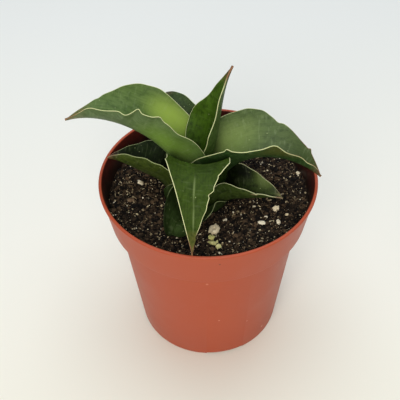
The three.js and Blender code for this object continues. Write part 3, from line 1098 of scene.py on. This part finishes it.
    def strand(
            self, x: float, y: float, turn: float, length: float, radius: float, bend: float,
            arch: float,
    ) -> list[np.ndarray]:
        """Models one fibre as rings of points along a bent, arched line.

        Args:
            x: place of its first end.
            y: place of its first end.
            turn: its first heading in radians.
            length: its length.
            radius: its radius, less at both ends.
            bend: its whole bend in radians.
            arch: how far its middle rises.

        Returns:
            Its points in metres, ring by ring.
        """
        spine = []
        last = self.knots - 1
        for k in range(self.knots):
            rise = 0.35 + arch * math.sin(math.pi * k / last)
            spine.append((x, y, self.height_at(x, y) + rise))
            x += math.cos(turn) * length / last
            y += math.sin(turn) * length / last
            turn += bend / last
        points = []
        for k, middle in enumerate(spine):
            ahead = np.subtract(spine[min(k + 1, last)], spine[max(k - 1, 0)])
            ahead /= np.linalg.norm(ahead)
            side = np.cross(ahead, (0, 0, 1))
            lift = np.cross(side, ahead)
            thin = radius * (0.35 if k in (0, last) else 1)
            for j in range(self.sides):
                angle = 2 * math.pi * j / self.sides
                ring = side * math.cos(angle) + lift * math.sin(angle)
                points.append(np.add(middle, thin * ring) * MM)
        return points

    def fibre_litter(self, rng: random.Random) -> Object:
        """Lays short bent fibres of peat on the soil, each a thin three-sided strand.

        Args:
            rng: the seeded source of draws.

        Returns:
            The finished piece.
        """
        all_points, all_faces, tones = [], [], []
        for _ in range(self.fibres):
            x, y, _, _, turn = self.random_place(rng, 1, 2, 1)
            length, radius = rng.uniform(*self.fibre_length), rng.uniform(*self.fibre_radius)
            bend = rng.uniform(-self.fibre_bend, self.fibre_bend)
            arch = rng.uniform(*self.fibre_arch)
            place = Vector((x, y, self.level)) * MM
            if any(tree.find_nearest(place, self.fibre_clear * MM)[0] for tree in self.blades):
                continue
            if math.hypot(x, y) > self.edge - self.fibre_rim:
                continue
            start = len(all_points)
            end = start + (self.knots - 1) * self.sides
            all_points += self.strand(x, y, turn, length, radius, bend, arch)
            for first in range(start, end, self.sides):
                for j in range(self.sides):
                    a, b = first + j, first + (j + 1) % self.sides
                    all_faces.append((a, b, b + self.sides, a + self.sides))
            all_faces.append((start + 2, start + 1, start))
            all_faces.append((end, end + 1, end + 2))
            tones += [rng.random()] * (self.knots * self.sides)
        piece = loose_piece("peat_fibres", FIBRE, all_points, all_faces, tones)
        face_outwards(piece)
        return finish_piece(piece, "soil")


@dataclass
class Crown:
    """The buried stem: its CAD solid stays and gets a fibrous finish."""

    node: str = "crown"

    def dress(self) -> None:
        """Gives the CAD solid its material."""
        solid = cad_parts[self.node]
        solid.data.materials.clear()
        solid.data.materials.append(STEM.material())
        log.info("%s: finish only", self.node)


# Leaves of the plant

FAR_GREEN = LeafSkin(
    root="2a3a14", body="34471d", tip="6b4a38", light="3d5228", dark="202e10", cross_marks=0.15,
    margin="b4c08a", margin_tip="a08870")
# Painted shade: the far green darkened for inner faces that lie in the shade under other leaves.
PAINTED_SHADE_GREEN = replace(FAR_GREEN, root="060a02", body="18240c", light="223212", dark="0c1405")
# Far green whose tip and margin end dark, the margin turning brown from 0.68 of the length.
DARK_TIP_GREEN = replace(FAR_GREEN, tip="1c2a0e", margin_tip="222e12", brown_from=0.68)

LEAVES: tuple[Leaf, ...] = (
    Leaf(
        "leaf_upright", ring=3.4, azimuth=39, swing=-1.5, lean=(86.5, 74.5, 79.5, 53.5),
        length=66.8, half_width=14.9, clasp=150, widest=0.57, shoulder=0.13, blunt=0.66,
        curl=(55, 14.5), fold=23.5, twist=-30, wave=(0.25, 5), slot="leaf_upright",
        nicks=(Nick(Side.LEFT, 0.575, 0.02, out=-0.5), Nick(Side.LEFT, 0.65, 0.04, out=0.5)),
        inner=LeafSkin(root="3b6209", body="3f5d12", tip="7a4a30", light="4b6b1c", dark="203404",
                       cross_marks=0.06, patches=(Patch(20, 8, 9, 3, "12240a", 0.6),)),
        outer=LeafSkin(root="4e7221", body="4a642b", tip="80543a", light="587335", dark="2c4312")),
    Leaf(
        "leaf_left", ring=6.1, azimuth=180, swing=2, lean=(90.5, 60.7, 28, -18.5),
        length=81.1, half_width=24.3, clasp=146, widest=0.61, shoulder=0.25, blunt=0.89,
        curl=(89, 43), fold=3, twist=25.5, wave=(0.25, 6), slot="leaf_left",
        nicks=(
            Nick(Side.RIGHT, 0.55, 0.05, out=1.2), Nick(Side.RIGHT, 0.715, 0.03, out=0.5),
            Nick(Side.RIGHT, 0.825, 0.015, out=-0.5), Nick(Side.LEFT, 0.5, 0.05, lift=-1.8),
            Nick(Side.LEFT, 0.6, 0.018, lift=1.4), Nick(Side.LEFT, 0.68, 0.012, lift=1.8),
            Nick(Side.LEFT, 0.715, 0.02, lift=-1.8), Nick(Side.LEFT, 0.86, 0.04, lift=1.3)),
        # The inner face's pale yellow-green patch is painted light: light shining through the leaf and
        # reflected inside its channel.
        inner=LeafSkin(root="65892a", body="577036", tip="7a4a34", light="667d42", dark="3d5523",
                       patches=(Patch(33, -16, 18, 11, "aecb58", 0.85),)),
        outer=LeafSkin(root="5c8522", body="566b40", tip="80503a", light="657950", dark="3f5428",
                       patches=(Patch(38, 14, 20, 13, "7fa53c", 0.65),))),
    Leaf(
        "leaf_right", ring=8.8, azimuth=-15, swing=2.5, lean=(86.5, 49.5, -1.5, -40.5),
        length=68.3, half_width=23.9, clasp=134, widest=0.48, shoulder=0.08, blunt=0.98,
        curl=(33.5, 64), fold=28.5, twist=-14.5, wave=(0.25, 6), slot="leaf_right",
        nicks=(
            Nick(Side.RIGHT, 0.485, 0.01, lift=1.2), Nick(Side.RIGHT, 0.53, 0.045, lift=-1.2),
            Nick(Side.RIGHT, 0.66, 0.035, lift=2.3), Nick(Side.RIGHT, 0.84, 0.04, lift=-1.2),
            Nick(Side.LEFT, 0.57, 0.03, out=0.8), Nick(Side.LEFT, 0.645, 0.02, out=-0.9),
            Nick(Side.LEFT, 0.855, 0.01, out=1.0)),
        # The inner face's pale root colour and pale patch near the root are painted light, countering
        # the shade of the upright leaf.
        inner=LeafSkin(root="647d3d", body="516437", tip="6e4f38", light="5f7042", dark="394927",
                       cross_marks=0.2, brown_from=0.7,
                       patches=(Patch(20, 10, 24, 16, "9cb466", 0.6),
                                Patch(59, 5, 19, 20, "3a4a22", 0.75))),
        outer=LeafSkin(root="29461a", body="314d22", tip="6e4f38", light="3a582b", dark="1d3311",
                       patches=(Patch(50, -15, 16, 8, "55501f", 0.6),))),
    Leaf(
        "leaf_front", ring=11.4, azimuth=-91, swing=-3, lean=(72, 67.5, -19, -72),
        length=86.5, half_width=15.1, clasp=78, widest=0.52, shoulder=0.2, blunt=0.51,
        curl=(39, 23), fold=0.5, twist=-6.5, wave=(0.2, 7), slot="leaf_front",
        nicks=(
            Nick(Side.RIGHT, 0.49, 0.07, out=-1.8), Nick(Side.LEFT, 0.605, 0.01, out=-0.6),
            Nick(Side.LEFT, 0.68, 0.012, out=0.6), Nick(Side.LEFT, 0.7, 0.01, out=-0.9),
            Nick(Side.LEFT, 0.77, 0.02, out=0.5), Nick(Side.LEFT, 0.9, 0.04, out=-0.6)),
        inner=LeafSkin(root="2d400e", body="364a12", tip="9a7a50", light="3e5418", dark="233409",
                       margin="dfe2aa", cross_marks=0.07, sheen=0.1,
                       patches=(Patch(46, 6, 10, 9, "1f300a", 0.5),
                                Patch(58, 0.2, 9, 0.7, "8f9f68", 0.4),
                                Patch(70, 0.4, 8, 0.6, "8f9f68", 0.4))),
        outer=LeafSkin(root="253812", body="2e440e", tip="8a6a48", light="384f13", dark="1d2e08",
                       margin="dfe2aa")),
    Leaf(
        "leaf_back", ring=11.4, azimuth=103.5, swing=6, lean=(87.5, 43, 29, -40.5),
        length=51.2, half_width=14.8, clasp=74.5, widest=0.35, shoulder=0.43, blunt=0.99,
        curl=(48, 15), fold=13.5, twist=4,
        inner=FAR_GREEN, outer=FAR_GREEN),
    Leaf(
        "leaf_lower_left", ring=14, azimuth=174.5, swing=3, lean=(91, 35, 32.5, 3.5),
        length=37.3, half_width=17.9, clasp=43, widest=0.36, shoulder=0.58, blunt=1,
        curl=(23, 28), fold=34, twist=30,
        inner=PAINTED_SHADE_GREEN, outer=replace(FAR_GREEN, body="4a5a1f", light="54642b")),
    Leaf(
        "leaf_lower_right", ring=14, azimuth=-29, swing=9, lean=(72, 21.5, 18, -7),
        length=31.9, half_width=17.2, clasp=67, widest=0.29, shoulder=0.36, blunt=0.99,
        curl=(45.5, 1), fold=40, twist=3.5,
        nicks=(Nick(Side.RIGHT, 0.695, 0.012, lift=-0.5),),
        # Painted shade on the inner face: the darkened green and the near-black patch near the root.
        inner=replace(
            PAINTED_SHADE_GREEN, body="34451b", light="465828", tip="8f8a5c", margin="cdd3a2",
            patches=(Patch(13, 12, 10, 9, "030601", 0.92), Patch(24, 9, 7, 8, "6a7d3f", 0.8))),
        outer=replace(FAR_GREEN, body="485d24", light="53662f", tip="8f8a5c", margin="cdd3a2",
                      patches=(Patch(22, -9, 3, 1.2, "c9b58e", 0.8),))),
    Leaf(
        "leaf_lowest", ring=16.4, azimuth=-104, swing=-12.5, lean=(69, 31, 18, -80),
        length=24.2, half_width=15.5, clasp=69, widest=0.48, shoulder=0.9, blunt=3,
        curl=(29, 60), fold=32.5, twist=-28.5, wave=(0.2, 4),
        inner=DARK_TIP_GREEN, outer=DARK_TIP_GREEN),
)


# Setting


@dataclass(frozen=True)
class Softbox:
    """A square soft light: place and size in metres, power in watts and hex tint."""

    name: str
    place: tuple[float, float, float]
    size: float
    power: float
    tint: str


@dataclass
class Studio:
    """Pale paper floor, soft light and the camera at the photograph's angle.

    The floor, its painted light fade from front to back and the lights are in metres; the camera's
    distance and target are in millimetres.
    """

    floor_size: float = 4.0
    painted_light_fade: tuple[float, float] = (-0.12, 0.3)
    softboxes: tuple[Softbox, ...] = (
        Softbox("front_softbox", (-0.15, -0.95, 0.8), 0.8, 9.9, "fff8ee"),
        Softbox("top_softbox", (0.0, 0.25, 1.1), 1.1, 8.3, "f4f8ff"))
    light_aim: float = 0.06
    sky: str = "eef2f4"
    sky_strength: float = 0.25
    focal_px: float = 700.0
    image_px: float = 400.0
    sensor: float = 36.0
    elevation: float = 44.874
    distance: float = 326.61
    offset_px: tuple[float, float] = (7.957, -24.995)
    roll: float = -1.142
    target: tuple[float, float, float] = (0.0, 0.0, 94.0)

    def camera(self) -> Object:
        """Places the camera so that the rim lies where the photograph shows it."""
        data = bpy.data.cameras.new("photograph_angle")
        data.sensor_width = self.sensor
        data.lens = self.focal_px / self.image_px * self.sensor
        data.clip_start = 0.01
        data.clip_end = 20
        camera = add_object("photograph_angle", data)
        tilt, roll = math.radians(self.elevation), math.radians(self.roll)
        back = Vector((0, -math.cos(tilt), math.sin(tilt)))
        right = Vector((1, 0, 0))
        up = back.cross(right)
        across = right * math.cos(roll) + up * math.sin(roll)
        upright = up * math.cos(roll) - right * math.sin(roll)
        reach = self.distance / self.focal_px
        place = (Vector(self.target) + back * self.distance - across * self.offset_px[0] * reach
                 + upright * self.offset_px[1] * reach)
        turn = Matrix((across, upright, back)).transposed()
        camera.matrix_world = Matrix.Translation(place * MM) @ turn.to_4x4()
        bpy.context.scene.camera = camera
        return camera

    def floor(self) -> Object:
        """Lays the floor: seamless matt paper, cream in front and cooler behind as painted light."""
        deselect_all()
        bpy.ops.mesh.primitive_plane_add(size=self.floor_size, location=(0, 0, -0.05 * MM))
        floor = bpy.context.object
        floor.name = "paper_floor"
        bpy.ops.object.transform_apply(location=True, rotation=False, scale=False)
        material, tree, output = new_material("matt_paper")
        place = add_node(tree, "TexCoord").outputs["Object"]
        _, y, _ = add_node(tree, "SeparateXYZ", {0: place}).outputs
        # Painted light: the paper's colour fades from warm cream in front to cool behind, standing for
        # the warm front light and the cool light from behind
        tint = ramp(tree, rescale(tree, y, *self.painted_light_fade), [
            (0.0, "eeeee0"), (0.35, "f2f3ea"), (1.0, "f2f5f2")])
        coat(tree, output, (noise_field(tree, place, 400.0, 3.0), 0.05, 0.2 * MM), {
            "Base Color": tint, "Roughness": 0.75, "Specular IOR Level": 0.2})
        floor.data.materials.append(material)
        return floor

    def light(self) -> None:
        """Hangs the softboxes, sets a pale sky and picks the plain view of colours."""
        for box in self.softboxes:
            data = bpy.data.lights.new(box.name, "AREA")
            data.shape = "SQUARE"
            data.size = box.size
            data.energy = box.power
            data.color = linear(box.tint)[:3]
            lamp = add_object(box.name, data)
            aim = Vector((0, 0, self.light_aim)) - Vector(box.place)
            turn = aim.to_track_quat("-Z", "Y").to_matrix().to_4x4()
            lamp.matrix_world = Matrix.Translation(box.place) @ turn
        bpy.context.scene.view_settings.view_transform = "Standard"
        world = bpy.context.scene.world or bpy.data.worlds.new("soft_room")
        bpy.context.scene.world = world
        world.use_nodes = True
        tree = world.node_tree
        tree.nodes.clear()
        sky = add_node(
            tree, "Background", {"Color": linear(self.sky), "Strength": self.sky_strength})
        output = add_node(tree, "OutputWorld")
        tree.links.new(sky.outputs[0], output.inputs["Surface"])


def main() -> None:
    """Builds the setting, the pot, the leaves and the soil in order."""
    logging.basicConfig(level=logging.INFO, format="%(name)s %(message)s")
    studio = Studio()
    studio.camera()
    studio.floor()
    studio.light()
    Pot().build()
    blades = [leaf.build() for leaf in LEAVES]
    Soil().build(blades)
    Crown().dress()


if __name__ == "__main__":
    main()
